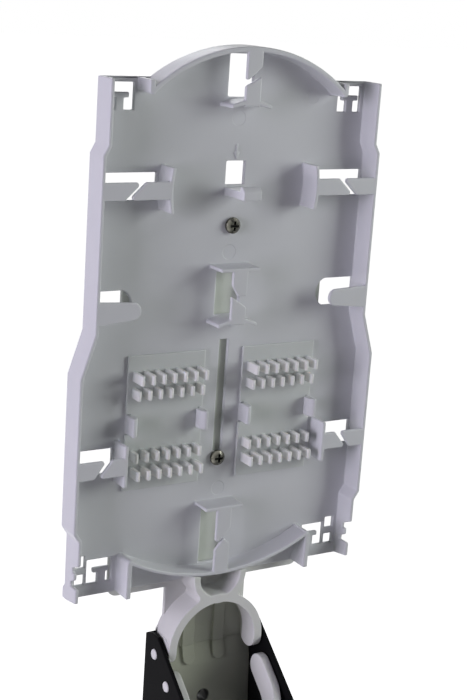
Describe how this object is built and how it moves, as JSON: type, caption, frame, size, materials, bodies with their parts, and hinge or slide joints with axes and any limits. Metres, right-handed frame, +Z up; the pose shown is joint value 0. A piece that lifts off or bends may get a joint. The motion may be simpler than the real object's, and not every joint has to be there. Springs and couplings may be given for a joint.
{
  "type": "fibre splice tray",
  "caption": "Hinged white fibre splice tray with clip-in splice combs, fibre guides and a tube ring, on a black steel channel bracket.",
  "frame": {"origin": "centre of the bracket's fixing hole, at its back face", "axes": "+Z up along the upright tray, +Y out of the bracket's back face, -Y the side that the fibres are laid in from, +X to the viewer's right"},
  "size_m": [0.1228, 0.0459, 0.2616],
  "materials": {
    "tray_plastic": "satin moulded",
    "holder_plastic": "satin moulded",
    "carrier_plastic": "satin moulded",
    "screw_steel": "zinc plated",
    "bracket_black": "fine black powder coat"
  },
  "bodies": {
    "bracket": {"hinge_bracket": "bracket_black", "trough_floor": "carrier_plastic"},
    "tray": {"tray_carrier": "carrier_plastic", "splice_tray": "tray_plastic", "splice_holder_left": "holder_plastic", "splice_holder_right": "holder_plastic", "tray_screw_upper": "screw_steel", "tray_screw_lower": "screw_steel"},
    "yoke": {"hinge_yoke": "carrier_plastic"}
  },
  "joints": [
    {"name": "tray_hinge", "type": "hinge", "parent": "bracket", "child": "tray", "pos_m": [0, -0.0071, 0.0216], "axis": [1, 0, 0], "range_deg": [0, 55]},
    {"name": "yoke_hinge", "type": "hinge", "parent": "bracket", "child": "yoke", "pos_m": [0, -0.0172, 0.013], "axis": [1, 0, 0], "range_deg": [-30, 40]}
  ]
}
